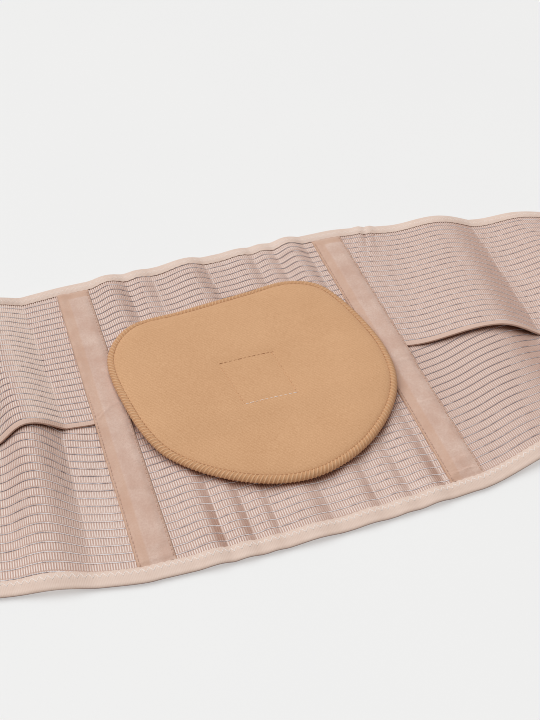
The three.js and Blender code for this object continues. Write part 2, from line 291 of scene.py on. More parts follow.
marked = add(bar_tree, "GeometryNodeStoreNamedAttribute",
             {"Geometry": square_bar.outputs[0], "Name": "bar_height", "Value": bar_place.outputs[2]})
less = add(bar_tree, "ShaderNodeMath", {0: 1.0, 1: given["Spread"]}, operation="SUBTRACT")
more = add(bar_tree, "ShaderNodeMath", {0: 1.0, 1: given["Spread"]}, operation="ADD")
chance = add(bar_tree, "FunctionNodeRandomValue", {2: less.outputs[0], 3: more.outputs[0], "Seed": 7})
size = add(bar_tree, "ShaderNodeCombineXYZ", {0: given["Length"], 1: given["Width"], 2: given["Height"]})
scaled = add(bar_tree, "ShaderNodeVectorMath", {0: size.outputs[0], "Scale": chance.outputs[1]},
             operation="SCALE")
laid = add(bar_tree, "GeometryNodeInstanceOnPoints",
           {"Points": given["Geometry"], "Instance": marked.outputs[0], "Rotation": turn.outputs[0],
            "Scale": scaled.outputs[0]})
real = add(bar_tree, "GeometryNodeRealizeInstances", {"Geometry": laid.outputs[0]})
dressed = add(bar_tree, "GeometryNodeSetMaterial",
              {"Geometry": real.outputs[0], "Material": given["Material"]})
add(bar_tree, "NodeGroupOutput", {"Geometry": dressed.outputs[0]})

# Runs a round thread along every line.
thread_tree = new_tree("threads_on_lines", ("Thickness",))
given = add(thread_tree, "NodeGroupInput").outputs
line = add(thread_tree, "GeometryNodeMeshToCurve", {"Mesh": given["Geometry"]})
radius = add(thread_tree, "ShaderNodeMath", {0: given["Thickness"], 1: 0.5}, operation="MULTIPLY")
ring = add(thread_tree, "GeometryNodeCurvePrimitiveCircle", {"Resolution": 5, "Radius": radius.outputs[0]})
tube = add(thread_tree, "GeometryNodeCurveToMesh",
           {"Curve": line.outputs[0], "Profile Curve": ring.outputs[0], "Fill Caps": True})
soft_tube = add(thread_tree, "GeometryNodeSetShadeSmooth", {"Geometry": tube.outputs[0]})
real = add(thread_tree, "GeometryNodeRealizeInstances", {"Geometry": soft_tube.outputs[0]})
dressed = add(thread_tree, "GeometryNodeSetMaterial",
              {"Geometry": real.outputs[0], "Material": given["Material"]})
add(thread_tree, "NodeGroupOutput", {"Geometry": dressed.outputs[0]})


def grown(name, tree, points, lines, marks, **inputs):
    """A plain mesh object that a geometry node tree grows on points or along lines."""
    mesh = bpy.data.meshes.new(name)
    mesh.from_pydata(points * MM, lines, [])
    for key, values in marks.items():
        mark(mesh, key, values)
    piece = bpy.data.objects.new(name, mesh)
    scene.collection.objects.link(piece)
    modifier = piece.modifiers.new("grow", "NODES")
    modifier.node_group = tree
    for item in tree.interface.items_tree:
        if item.in_out == "INPUT" and item.name in inputs:
            modifier[item.identifier] = inputs[item.name]
    graph = bpy.context.evaluated_depsgraph_get()
    plain = bpy.data.meshes.new_from_object(piece.evaluated_get(graph))
    piece.modifiers.remove(modifier)
    piece.data = plain
    return piece


def bars(name, points, along, facing, size, material, spread, **marks):
    """Small bars on points, such as ribs and stitches. size is a bar's length, width and height."""
    marks["along"] = np.broadcast_to(along, points.shape)
    marks["facing"] = np.broadcast_to(facing, points.shape)
    length, width, height = size
    return grown(name, bar_tree, points, [], marks, Length=length * MM, Width=width * MM, Height=height * MM,
                 Spread=spread, Material=material)


def threads(name, lines, thickness, material, **marks):
    """Round threads along lists of points."""
    ends = np.cumsum([len(line) for line in lines])
    starts = np.setdiff1d(np.arange(ends[-1]), ends - 1)
    edges = np.stack([starts, starts + 1], -1).tolist()
    return grown(name, thread_tree, np.concatenate(lines), edges, marks, Thickness=thickness * MM,
                 Material=material)


def in_shade(tree, colour, shade, reach, closed, clear):
    """A colour that turns to its shade where the cloth within reach closes off the sky."""
    sky = add(tree, "ShaderNodeAmbientOcclusion", {"Distance": reach * MM}, samples=4)
    lit = add(tree, "ShaderNodeMapRange", {"Value": sky.outputs["AO"], 1: closed, 2: clear})
    mixed = add(tree, "ShaderNodeMix", {0: lit.outputs[0], 6: linear(shade), 7: colour}, data_type="RGBA")
    return mixed.outputs[2]


# Covered rubber: satin yarn with an uneven dye, painted shade low on each rib's flanks and a short fuzz.
# On the sides of the folds that face right, as "turn" says, painted shade browns it where the amount is
# above 0 and painted sheen makes it paler where it is below 0, and it is red-brown in deep shade.
KNIT_SHADE = {"reach": 9, "closed": 0.15, "clear": 0.6}
rib_yarn, tree = bare_material("covered_rubber_rib")
place = add(tree, "ShaderNodeTexCoord").outputs["Object"]
dye = add(tree, "ShaderNodeTexNoise",
          {"Vector": place, "Scale": 1 / (7 * MM), "Detail": 4.0, "Roughness": 0.7})
tint = add(tree, "ShaderNodeMix", {0: dye.outputs["Fac"], 6: linear("#DFC8BC"), 7: linear("#EEDED6")},
           data_type="RGBA")
# Painted shade: each rib darkens towards its foot, where it meets the groove between the ribs.
level = add(tree, "ShaderNodeAttribute", attribute_name="bar_height")
rib_foot_shade = add(tree, "ShaderNodeMapRange", {"Value": level.outputs["Fac"], 1: 0.25, 2: 0.95})
foot_shaded = add(tree, "ShaderNodeMix", {0: rib_foot_shade.outputs[0], 6: linear("#C8A595"), 7: tint.outputs[2]},
            data_type="RGBA")
# Painted shade and painted sheen on the sides of the folds that face right, as "turn" says.
turn = add(tree, "ShaderNodeAttribute", attribute_name="turn").outputs["Fac"]
side_shaded = add(tree, "ShaderNodeMix", {0: turn, 6: foot_shaded.outputs[2], 7: linear("#A2735A")}, data_type="RGBA")
side_sheen = add(tree, "ShaderNodeMath", {0: turn, 1: -1.0}, operation="MULTIPLY")
side_lit = add(tree, "ShaderNodeMix", {0: side_sheen.outputs[0], 6: side_shaded.outputs[2], 7: linear("#F8E6DB")},
            data_type="RGBA")
shaded = in_shade(tree, side_lit.outputs[2], "#AE7559", **KNIT_SHADE)
fuzz = add(tree, "ShaderNodeTexNoise", {"Vector": place, "Scale": 1 / (0.4 * MM), "Detail": 2.0})
relief = add(tree, "ShaderNodeBump", {"Height": fuzz.outputs["Fac"], "Strength": 0.25, "Distance": 0.1 * MM})
skin = add(tree, "ShaderNodeBsdfPrincipled",
           {"Base Color": shaded, "Roughness": 0.45, "Specular IOR Level": 0.8, "Normal": relief.outputs[0]})
add(tree, "ShaderNodeOutputMaterial", {"Surface": skin.outputs[0]})

# The ground between the ribs: red-brown grooves, partly the ground's own tone and partly painted shade
# between the ribs, dark slits and holes at the rib ends that are painted shade, pale ribs on the back of it,
# a plain peach strip along a selvedge, painted sheen where "turn" is below 0, and red-brown in deep shade.
knit_ground, tree = bare_material("knit_ground")
cell = add(tree, "ShaderNodeSeparateXYZ", {0: add(tree, "ShaderNodeUVMap", uv_map="flat").outputs[0]})
from_rib = add(tree, "ShaderNodeMath", {0: cell.outputs[0], 1: RIB / 2}, operation="PINGPONG")
from_row = add(tree, "ShaderNodeMath", {0: cell.outputs[1], 1: ROW / 2}, operation="PINGPONG")
groove = add(tree, "ShaderNodeMapRange", {"Value": from_rib.outputs[0], 1: 0.3, 2: 0.6})
# Painted shade: the slits between the rows and the holes at the rib ends are dark.
slit = add(tree, "ShaderNodeMapRange", {"Value": from_row.outputs[0], 1: 0.26, 2: 0.1})
hole = add(tree, "ShaderNodeMapRange", {"Value": from_row.outputs[0], 1: 0.5, 2: 0.25})
hole_end = add(tree, "ShaderNodeMath", {0: hole.outputs[0], 1: groove.outputs[0]}, operation="MULTIPLY")
dark = add(tree, "ShaderNodeMath", {0: slit.outputs[0], 1: hole_end.outputs[0]}, operation="MAXIMUM")
# The grooves are browner, partly the ground's own tone and partly painted shade between the ribs.
stripe = add(tree, "ShaderNodeMix", {0: groove.outputs[0], 6: linear("#E0C7BA"), 7: linear("#C8A596")},
             data_type="RGBA")
slit_shaded = add(tree, "ShaderNodeMix", {0: dark.outputs[0], 6: stripe.outputs[2], 7: linear("#8F7B75")},
              data_type="RGBA")
# Painted sheen: the ground turns paler on the sides that face right where "turn" is below 0.
turn = add(tree, "ShaderNodeAttribute", attribute_name="turn").outputs["Fac"]
side_sheen = add(tree, "ShaderNodeMath", {0: turn, 1: -0.7}, operation="MULTIPLY")
side_lit = add(tree, "ShaderNodeMix", {0: side_sheen.outputs[0], 6: slit_shaded.outputs[2], 7: linear("#EFD6C7")},
            data_type="RGBA")
strip = add(tree, "ShaderNodeMath", {0: cell.outputs[1], 1: -0.4}, operation="LESS_THAN")
edged = add(tree, "ShaderNodeMix", {0: strip.outputs[0], 6: side_lit.outputs[2], 7: linear("#D9BAAA")},
            data_type="RGBA")
shaded = in_shade(tree, edged.outputs[2], "#A0684E", **KNIT_SHADE)
relief = add(tree, "ShaderNodeBump",
             {"Height": groove.outputs[0], "Strength": 0.5, "Distance": 0.2 * MM}, invert=True)
skin = add(tree, "ShaderNodeBsdfPrincipled",
           {"Base Color": shaded, "Roughness": 0.85, "Normal": relief.outputs[0]})
add(tree, "ShaderNodeOutputMaterial", {"Surface": skin.outputs[0]})

# Filament thread: glossy, with a painted reflection that makes it silvery where its painted glint is strong
# and leaves it slate where the glint is weak.
filament, tree = bare_material("filament_thread")
place = add(tree, "ShaderNodeTexCoord").outputs["Object"]
dips = add(tree, "ShaderNodeTexNoise", {"Vector": place, "Scale": 1 / (5 * MM), "Detail": 3.0})
slack = add(tree, "ShaderNodeAttribute", attribute_name="slack")
mixed = add(tree, "ShaderNodeMath", {0: dips.outputs["Fac"], 1: 1.2, 2: slack.outputs["Fac"]},
            operation="MULTIPLY_ADD")
shade = add(tree, "ShaderNodeMapRange", {"Value": mixed.outputs[0], 1: 0.7, 2: 1.15})
tint = add(tree, "ShaderNodeMix", {0: shade.outputs[0], 6: linear("#928E98"), 7: linear("#F8F6FA")},
           data_type="RGBA")
skin = add(tree, "ShaderNodeBsdfPrincipled", {"Base Color": tint.outputs[2], "Roughness": 0.3})
add(tree, "ShaderNodeOutputMaterial", {"Surface": skin.outputs[0]})

# Facets of the ground along and across the belt, the rolled selvedge's crest and reach from its edge, the
# spacing of the places that ribs and threads are found from, how many of them lie from one point of a thread
# to the next, and how many the shortest thread spans
GROUND_STEP = 2.6
GROUND_RISE = 2.8
SELVEDGE_CREST = 1.9
SELVEDGE_REACH = 2.3
FINE_STEP = 0.5
THREAD_EVERY = 5
SHORTEST_THREAD = 12
# Heights on the back that the two amounts of painted side shade belong to, and the lean to the right
# at which the cloth starts to show it and shows it fully
SIDE_SHADE_HEIGHTS = (-60, 60)
SIDE_SHADE_LEAN = (0.08, 0.45)


def slackness(surface, x, y):
    """How strongly the threads show their painted glint, a painted reflection of the light.

    It is stronger low on the back, in the deep valley low on the left, and off the left sides of the folds.
    """
    tilt = square_to(surface, x, y)[:, 0]
    lower_half = 0.35 * ease(-y, 30, 95)
    valley = 0.5 * np.exp(-((x + 124) / 12) ** 2) * ease(-y, 60, 90)
    return lower_half + valley + 0.5 * ease(tilt, -0.1, 0.15) - 0.25 * ease(tilt, 0.25, 0.45)


def knit(node, surface, low, high, base, stretch, slope, first_row, xs, shown, side_shade_and_sheen, rib_width, glint_offset,
         selvedge=()):
    """A piece of ladder knit: its ground, and the ribs and threads on it where shown() says they can be seen.

    The rows run along base(x), which has the given slope, from first_row above it. stretch(x) spreads them.
    The amounts after shown() are the painted shade on the sides that face right, low and high on the back,
    which turns to painted sheen below 0, the width of a rib, and a raise of the threads' painted glint.
    selvedge lists the distances from the low edge at which a rolled selvedge needs points.
    """
    lean = math.hypot(1, slope)
    rib_lean = 0.4 * slope

    def flat_place(x, y, points):
        steps = np.linalg.norm(np.diff(points[..., ::2], axis=0), axis=-1)
        run = np.concatenate([np.zeros((1,) + x.shape[1:]), np.cumsum(steps, 0)])
        rise = (y - base(x)) / stretch(x)
        along = run + rib_lean * rise * lean / (1 + rib_lean * slope)
        return np.stack([along, (rise - first_row) / lean], -1)

    # Painted shade on the places that face right, which turns to painted sheen where the amount is below 0.
    def turn(x, y):
        faces_right = ease(square_to(surface, x, y)[..., 0], *SIDE_SHADE_LEAN)
        return np.interp(y, SIDE_SHADE_HEIGHTS, side_shade_and_sheen) * faces_right

    columns = np.linspace(*xs, round((xs[1] - xs[0]) / GROUND_STEP) + 1)
    height = np.max(high(columns) - low(columns))
    shares = np.union1d(np.linspace(0, 1, round(height / GROUND_RISE) + 1), np.array(selvedge) / height)
    x = np.repeat(columns[:, None], len(shares), 1)
    y = low(x) + (high(x) - low(x)) * shares
    from_crest = np.clip((y - low(x) - SELVEDGE_CREST) / SELVEDGE_REACH, -1, 1)
    roll = np.cos(from_crest * math.pi / 2) ** 2 if selvedge else 0
    over = above(surface, x, y, GROUND + (CLOTH - GROUND) * roll)
    ground = slab(node + "_knit", above(surface, x, y, 0), over, knit_ground, flat_place(x, y, over))
    mark(ground.data, "turn", np.tile(turn(x, y).ravel(), 2))

    fine = np.arange(xs[0], xs[1], FINE_STEP)
    rib_x, rib_y, lines, slack = [], [], [], []
    for row in range(-1, round(height / (ROW * lean)) + 2):
        line_y = base(fine) + (first_row + row * ROW * lean) * stretch(fine)
        seen = shown(fine, line_y)
        for part in np.split(np.arange(len(fine)), np.flatnonzero(np.diff(seen)) + 1):
            if seen[part[0]] and len(part) > SHORTEST_THREAD:
                x_at, y_at = fine[part[::THREAD_EVERY]], line_y[part[::THREAD_EVERY]]
                lines.append(above(surface, x_at, y_at, CLOTH - THREAD_SINK))
                # Painted reflection: how strongly each thread point shows its painted glint.
                slack.append(glint_offset + slackness(surface, x_at, y_at))
        middle_y = line_y + ROW * lean / 2 * stretch(fine)
        count = flat_place(fine, middle_y, above(surface, fine, middle_y, CLOTH))[:, 0] / RIB
        whole = np.arange(math.ceil(count[0]), count[-1])
        x_at = np.interp(whole, count, fine)
        y_at = np.interp(x_at, fine, middle_y)
        keep = shown(x_at, y_at)
        rib_x.append(x_at[keep])
        rib_y.append(y_at[keep])
    x, y = np.concatenate(rib_x), np.concatenate(rib_y)
    here = above(surface, x, y, GROUND - RIB_SINK)
    along = above(surface, x - rib_lean, y + 1, GROUND - RIB_SINK) - here
    ribs = bars(node + "_ribs", here, along, square_to(surface, x, y),
                (RIB_LENGTH, rib_width, CLOTH - GROUND + RIB_SINK), rib_yarn, spread=0.06, turn=turn(x, y))
    rows = threads(node + "_row_threads", lines, THREAD, filament, slack=np.concatenate(slack))
    for piece in (ribs, rows):
        piece.parent = ground
    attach(ground, "root")
    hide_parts(node)
    return ground


def panel_rows(x):
    return -BACK_HALF_HEIGHT + 0.4 * np.sin(x / 17) + 0.25 * np.sin(x / 6.1)


PANEL_SHOWS = 86
HIDDEN_EDGE = BINDING_COVER - 2
FIRST_ROW = 2.0


def panel_shown(x, y):
    return (np.abs(x) < PANEL_SHOWS) & (y > bottom_edge(x) + HIDDEN_EDGE) & (y < top_edge(x) - HIDDEN_EDGE)


panel = knit("back_panel", panel_surface, bottom_edge, top_edge, panel_rows, np.ones_like, 0.0,
             FIRST_ROW, (-PANEL_HALF_WIDTH, PANEL_HALF_WIDTH), panel_shown, side_shade_and_sheen=(0.85, 0.2),
             rib_width=0.92, glint_offset=0.05)

# Bands
# Each side has two bands of the same knit, which cross at a shallow angle with the upper one on top. The
# upper one's free edge is a plain woven selvedge. Both are slack here and lie in long waves on the table.
BAND_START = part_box("upper_band_right")[0].x / MM
BAND_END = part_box("upper_band_right")[1].x / MM
UPPER_SELVEDGE = -2.3
LEFT_SELVEDGE = -5.5
LOWER_SELVEDGE = 4
SELVEDGE_POINTS = (0.5, 1.2, 2.0, 3.2, 4.2)
SELVEDGE_STRIP = 3.5
SELVEDGE_FIRST_ROW = 4.2
SHOWN_LAP = 8
BANDS_SHOW = 103
END_THICKNESS = 2.6
END_START = 344
END_LIFT_START = 300
SEWN_DOWN = 0.9
SEWN_REACH = (336, 352)
SEWN_HALF_HEIGHT = (48, 62)
UPPER_WAVES = (
    (-300, -300, 40, 40, 40, 40, 3, 3, 3, 2),
    (-228, -226, 36, 36, 40, 40, 7, 7, 4, 2),
    (-146, -158, 23, 30, 23, 28, 13, 13, 8, 1.2),
    (86, 122, 5, 6, 5, 4, 0, 0, 1.4, 1.2),
    (94, 130, 4, 4, 4, 3.5, 0, 0, 1.2, 1.2),
    (164, 179, 57, 36, 31, 25, 13, 9.5, 6, 1.1),
    (240, 240, 42, 32, 40, 40, 12, 11, 4.2, 2),
    (306, 308, 34, 34, 30, 30, 4, 4, 3, 2),
)
LOWER_WAVES = (
    (-226, -228, 34, 34, 34, 34, 2, 4, 4, 2),
    (-150, -145, 26, 20, 21, 19, 2.8, 10.5, 11, 1.3),
    (152, 164, 42, 50, 40, 30, 3.5, 8, 10.4, 1.4),
    (238, 236, 34, 34, 36, 36, 3, 5, 5, 2),
)


def upper_selvedge(x):
    level_edge = LEFT_SELVEDGE + 2 * ease(-x, 104, 126)
    return UPPER_SELVEDGE - drop(x) + lies_level(x) * (level_edge - UPPER_SELVEDGE + drop(x))


def lower_selvedge(x):
    return LOWER_SELVEDGE + drop(x)


def end_lift(x):
    return (END_THICKNESS + GAP) * ease(np.abs(x), END_LIFT_START, END_START)


def clearance(x, y):
    """Height of the lowest cloth, which is sewn down on to the end panels where no binding lies under it."""
    between_bindings = 1 - ease(np.abs(y), *SEWN_HALF_HEIGHT)
    return TABLE_CLEARANCE * (1 - SEWN_DOWN * ease(np.abs(x), *SEWN_REACH) * between_bindings)


def upper_surface(x, y):
    v = (y - upper_selvedge(x)) / (top_edge(x) - upper_selvedge(x))
    return clearance(x, y) + LAYER + end_lift(x) + wave_height(UPPER_WAVES, x, v)


def lower_surface(x, y):
    v = (y - bottom_edge(x)) / (lower_selvedge(x) - bottom_edge(x))
    return clearance(x, y) + end_lift(x) + wave_height(LOWER_WAVES, x, v)


def band_wander(x):
    return 0.35 * np.sin(x / 15) + 0.2 * np.sin(x / 5.3)


def upper_rows(x):
    return upper_selvedge(x) + band_wander(x)


def lower_rows(x):
    return bottom_edge(x) + band_wander(x)


def upper_stretch(x):
    return 1 - lies_level(x) * (1 - (top_edge(x) - upper_selvedge(x)) / (BACK_HALF_HEIGHT - LEFT_SELVEDGE))


def lower_stretch(x):
    return 1 + 0.09 * ease(-x, 104, 165) - 0.05 * ease(x, 104, 170)


def upper_shown(x, y):
    first_shown = upper_selvedge(x) + SELVEDGE_STRIP
    return (np.abs(x) > BANDS_SHOW) & (y > first_shown) & (y < top_edge(x) - HIDDEN_EDGE)


def lower_shown(x, y):
    under_upper = upper_selvedge(x) + SHOWN_LAP
    return (np.abs(x) > BANDS_SHOW) & (y > bottom_edge(x) + HIDDEN_EDGE) & (y <= under_upper)


# The slope of the rows of the upper band and its look, and then the same of the lower band. A look is the
# painted shade on the sides that face right low and high up, below 0 for painted sheen, the width of a rib
# and the raise of the threads' painted glint
for side, xs, upper_slope, upper_look, lower_slope, lower_look in (
    ("left", (-BAND_END, -BAND_START), 0.0, ((-0.8, -0.8), 0.96, 0.1), -0.28, ((0.1, 0.1), 0.96, 0.05)),
    ("right", (BAND_START, BAND_END), -SLOPE, ((0.4, 0.4), 0.8, 0.3), 0.14, ((0.5, 0.5), 0.72, -0.1)),
):
    upper = knit("upper_band_" + side, upper_surface, upper_selvedge, top_edge, upper_rows, upper_stretch,
                 upper_slope, SELVEDGE_FIRST_ROW, xs, upper_shown, *upper_look, SELVEDGE_POINTS)
    lower = knit("lower_band_" + side, lower_surface, bottom_edge, lower_selvedge, lower_rows, lower_stretch,
                 lower_slope, FIRST_ROW, xs, lower_shown, *lower_look)

# Stay casings
# Over each seam between panel and bands a tape of brushed tricot is sewn down along both edges, with a
# flexible stay inside it. The stay shows as a flat ridge with round ends, its seams pucker the tape a little,
# and its ends slip under the bindings.
CASING_BOTTOM = -117.3
CASING_TOP = 120.3
CASING_CENTRE = 94.5
CASING_HALF_WIDTH = 11
CASING_STEP_LOW = -26
CASING_STEP_HIGH = -6
CASING_FACETS = (45, 300)
EDGE_THICKNESS = 0.6
LEAST_THICKNESS = 0.4
LEFT_SWELL = 1.1
PUCKER = 0.12
SEAM_DENT = 0.12
SEAM_INSET = 1.3
STAY_HEIGHT = 0.9
STAY_OFFSET = 1.5
STAY_ROUND = 7
STAY_ENDS = (-109, 113)
CASING_STITCH = (2.4, 0.45, 0.4)
CASING_STITCH_PITCH = 3.2
CASING_STITCH_LEVEL = 0.75
# Side, place across and along, direction in degrees, length, width and height of each crease
CASING_CREASES = (
    (-1, -6, -2, 35, 7, 0.9, 0.5),
    (-1, -1, 3, 20, 6, 1.4, 0.35),
    (-1, 3, 60, 165, 12, 2.0, 0.2),
    (-1, 2, -62, 160, 12, 2.0, 0.25),
    (1, 0, -112.0, 4, 9, 0.8, 0.8),
    (1, 1, -104, 12, 10, 1.8, 0.3),
    (1, 4, -15.7, 0, 6, 1.1, 0.45),
    (1, 2, -25, 165, 8, 1.6, 0.3),
    (1, 4, -54, 0, 6, 1.1, 0.4),
    (1, -2, 50, 170, 9, 1.8, 0.2),
)

# Brushed tricot: a dusty rose nap with fine slanting wales, lighter where the nap is rubbed up, browner with
# painted shade left of the stay and past its top end, and with a tan line along both turned-in edges.
tricot, tree = bare_material("brushed_tricot")
place = add(tree, "ShaderNodeTexCoord").outputs["Object"]
cell = add(tree, "ShaderNodeSeparateXYZ", {0: add(tree, "ShaderNodeUVMap", uv_map="flat").outputs[0]})
nap = add(tree, "ShaderNodeTexNoise",
          {"Vector": place, "Scale": 1 / (1.1 * MM), "Detail": 5.0, "Roughness": 0.7})
rubbed = add(tree, "ShaderNodeTexNoise", {"Vector": place, "Scale": 1 / (14 * MM), "Detail": 3.0})
slanted = add(tree, "ShaderNodeMath", {0: cell.outputs[1], 1: 0.5, 2: cell.outputs[0]},
              operation="MULTIPLY_ADD")
wale = add(tree, "ShaderNodeMath", {0: slanted.outputs[0], 1: 0.45}, operation="PINGPONG")
from_middle = add(tree, "ShaderNodeMath", {0: cell.outputs[0]}, operation="ABSOLUTE")
turned_in = add(tree, "ShaderNodeMapRange", {"Value": from_middle.outputs[0], 1: 10.2, 2: 10.6})
blend = add(tree, "ShaderNodeMath", {0: nap.outputs["Fac"], 1: rubbed.outputs["Fac"]}, operation="MULTIPLY")
shade = add(tree, "ShaderNodeMapRange", {"Value": blend.outputs[0], 1: 0.12, 2: 0.38})
napped = add(tree, "ShaderNodeMix", {0: shade.outputs[0], 6: linear("#CCA896"), 7: linear("#DEC2B3")},
             data_type="RGBA")
# Painted shade in the hollow left of the stay and past its top end.
beside_stay = add(tree, "ShaderNodeMapRange", {"Value": cell.outputs[0], 1: -3.2, 2: -4.4, 4: 0.45})
past_stay = add(tree, "ShaderNodeMapRange", {"Value": cell.outputs[1], 1: 111.5, 2: 113.0, 4: 0.55})
stay_shade = add(tree, "ShaderNodeMath", {0: beside_stay.outputs[0], 1: past_stay.outputs[0]},
               operation="MAXIMUM")
stay_shaded = add(tree, "ShaderNodeMix", {0: stay_shade.outputs[0], 6: napped.outputs[2], 7: linear("#CCA287")},
             data_type="RGBA")
tint = add(tree, "ShaderNodeMix", {0: turned_in.outputs[0], 6: stay_shaded.outputs[2], 7: linear("#CBA48A")},
           data_type="RGBA")
pile = add(tree, "ShaderNodeMath", {0: nap.outputs["Fac"], 1: wale.outputs[0]}, operation="ADD")
relief = add(tree, "ShaderNodeBump", {"Height": pile.outputs[0], "Strength": 0.5, "Distance": 0.15 * MM})
skin = add(tree, "ShaderNodeBsdfPrincipled",
           {"Base Color": tint.outputs[2], "Roughness": 0.9, "Normal": relief.outputs[0],
            "Sheen Weight": 0.35, "Sheen Roughness": 0.5})
add(tree, "ShaderNodeOutputMaterial", {"Surface": skin.outputs[0]})


def spun_thread(name, dark, pale, twist, roughness):
    """Spun thread, whose colour changes a little from one twist of its yarn to the next."""
    made, tree = bare_material(name)
    place = add(tree, "ShaderNodeTexCoord").outputs["Object"]
    uneven = add(tree, "ShaderNodeTexNoise", {"Vector": place, "Scale": 1 / (twist * MM), "Detail": 2.0})
    tint = add(tree, "ShaderNodeMix", {0: uneven.outputs["Fac"], 6: linear(dark), 7: linear(pale)},
               data_type="RGBA")
    skin = add(tree, "ShaderNodeBsdfPrincipled", {"Base Color": tint.outputs[2], "Roughness": roughness})
    add(tree, "ShaderNodeOutputMaterial", {"Surface": skin.outputs[0]})
    return made


# Sewing thread a shade browner than the tape, so the seams show as fine broken lines.
seam_thread = spun_thread("seam_thread", "#BA9580", "#D6B7A6", twist=1.5, roughness=0.6)


def casing_surface(x, y):
    return TABLE_CLEARANCE + LAYER * ease(y, CASING_STEP_LOW, CASING_STEP_HIGH) + 0 * x


for side, node in ((-1, "stay_casing_left"), (1, "stay_casing_right")):
    across = np.linspace(-CASING_HALF_WIDTH, CASING_HALF_WIDTH, CASING_FACETS[0])[:, None]
    y = np.linspace(CASING_BOTTOM, CASING_TOP, CASING_FACETS[1])[None, :]
    across, y = np.broadcast_arrays(across, y)
    from_edge = CASING_HALF_WIDTH - np.abs(across)
    past_end = np.maximum(np.maximum(STAY_ENDS[0] + STAY_ROUND - y, y - STAY_ENDS[1] + STAY_ROUND), 0)
    from_stay = np.hypot(across - STAY_OFFSET, past_end)
    pucker = PUCKER * np.sin(y / 1.7) * np.exp(-((from_edge - 2.1) / 1.6) ** 2)
    seam_dent = SEAM_DENT * np.exp(-((from_edge - SEAM_INSET) / 0.6) ** 2)
    stay = STAY_HEIGHT * (1 - ease(from_stay, 3.5, 9.0))
    thickness = EDGE_THICKNESS + 0.5 * ease(from_edge, 0, 4) + stay - seam_dent + pucker
    if side < 0:
        thickness = thickness + LEFT_SWELL * ease(-across, 1, 11) * ease(y, 0, 40)
    for crease_side, crease_x, crease_y, degrees, length, width, height in CASING_CREASES:
        if crease_side == side:
            turn = math.radians(degrees)
            run = (across - crease_x) * math.cos(turn) + (y - crease_y) * math.sin(turn)
            off = (y - crease_y) * math.cos(turn) - (across - crease_x) * math.sin(turn)
            bend = np.exp(-(off / width) ** 2) - 0.5 * np.exp(-((off - 1.6 * width) / width) ** 2)
            thickness = thickness + height * bend * np.exp(-(run / length) ** 2)
    edge_round = np.sqrt(np.clip(from_edge / 0.6, 0, 1))
    tucked = 1 - ease(np.minimum(y - CASING_BOTTOM, CASING_TOP - y), 0, 3.5)
    thickness = np.maximum(thickness * (0.45 + 0.55 * edge_round) * (1 - 0.6 * tucked), LEAST_THICKNESS)
    x = side * CASING_CENTRE + across
    seat = LAYER - 0.45 * np.maximum(1 - edge_round, tucked)
    casing = slab(node + "_tape", above(casing_surface, x, y, seat),
                  above(casing_surface, x, y, seat + thickness), tricot, np.stack([across, y], -1))
    stitch_y = np.arange(CASING_BOTTOM + 2, CASING_TOP - 2, CASING_STITCH_PITCH)
    stitch_y = np.concatenate([stitch_y, stitch_y + CASING_STITCH_PITCH / 2])
    which_seam = np.where(np.arange(len(stitch_y)) < len(stitch_y) / 2, -1, 1)
    stitch_x = side * CASING_CENTRE + which_seam * (CASING_HALF_WIDTH - SEAM_INSET)
    here = above(casing_surface, stitch_x, stitch_y, LAYER + CASING_STITCH_LEVEL)
    stitches = bars(node + "_stitches", here, (0, 1, 0), square_to(casing_surface, stitch_x, stitch_y),
                    CASING_STITCH, seam_thread, spread=0.08)
    stitches.parent = casing
    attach(casing, "root")
    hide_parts(node)

# Bindings
# Fold-over elastic is folded round both long edges while stretched, and sewn through with a cream zigzag. It
# is a dense tape with fine cross ribs, and the zigzag pulls its free edge into small scallops.
TAPE = 1.0
BINDING_GAP = 0.5
FOLD_THINNING = 0.9
GAP_THINNING = 0.4
SCALLOP = 0.25
ZIGZAG_HALF_PERIOD = 2.1
ZIGZAG_INNER = 6.4
ZIGZAG_OUTER = 3.4
ZIGZAG_SINK = 0.02
ZIGZAG_BACK_SINK = 0.13
BINDING_COLUMNS = 343

# Fold-over elastic: warm peach with close cross ribs and a faint sheen along the fold, brown in deep shade,
# and with a thin dark line of painted contact shadow along the underside of the lower fold, where it meets
# the table.
elastic, tree = bare_material("fold_over_elastic")
place = add(tree, "ShaderNodeTexCoord").outputs["Object"]
cell = add(tree, "ShaderNodeSeparateXYZ", {0: add(tree, "ShaderNodeUVMap", uv_map="flat").outputs[0]})
cross = add(tree, "ShaderNodeMath", {0: cell.outputs[0], 1: 0.45}, operation="PINGPONG")
rib_mask = add(tree, "ShaderNodeMapRange", {"Value": cross.outputs[0], 1: 0.05, 2: 0.4})
worn = add(tree, "ShaderNodeTexNoise",
           {"Vector": place, "Scale": 1 / (9 * MM), "Detail": 4.0, "Roughness": 0.65})
tone = add(tree, "ShaderNodeMath", {0: rib_mask.outputs[0], 1: 0.35, 2: 0.1}, operation="MULTIPLY_ADD")
uneven = add(tree, "ShaderNodeMath", {0: worn.outputs["Fac"], 1: 0.9, 2: tone.outputs[0]},
             operation="MULTIPLY_ADD")
tint = add(tree, "ShaderNodeMix", {0: uneven.outputs[0], 6: linear("#D8BAA8"), 7: linear("#E9D2C4")},
           data_type="RGBA", clamp_factor=True)
shaded = in_shade(tree, tint.outputs[2], "#8A6452", reach=5, closed=0.1, clear=0.5)
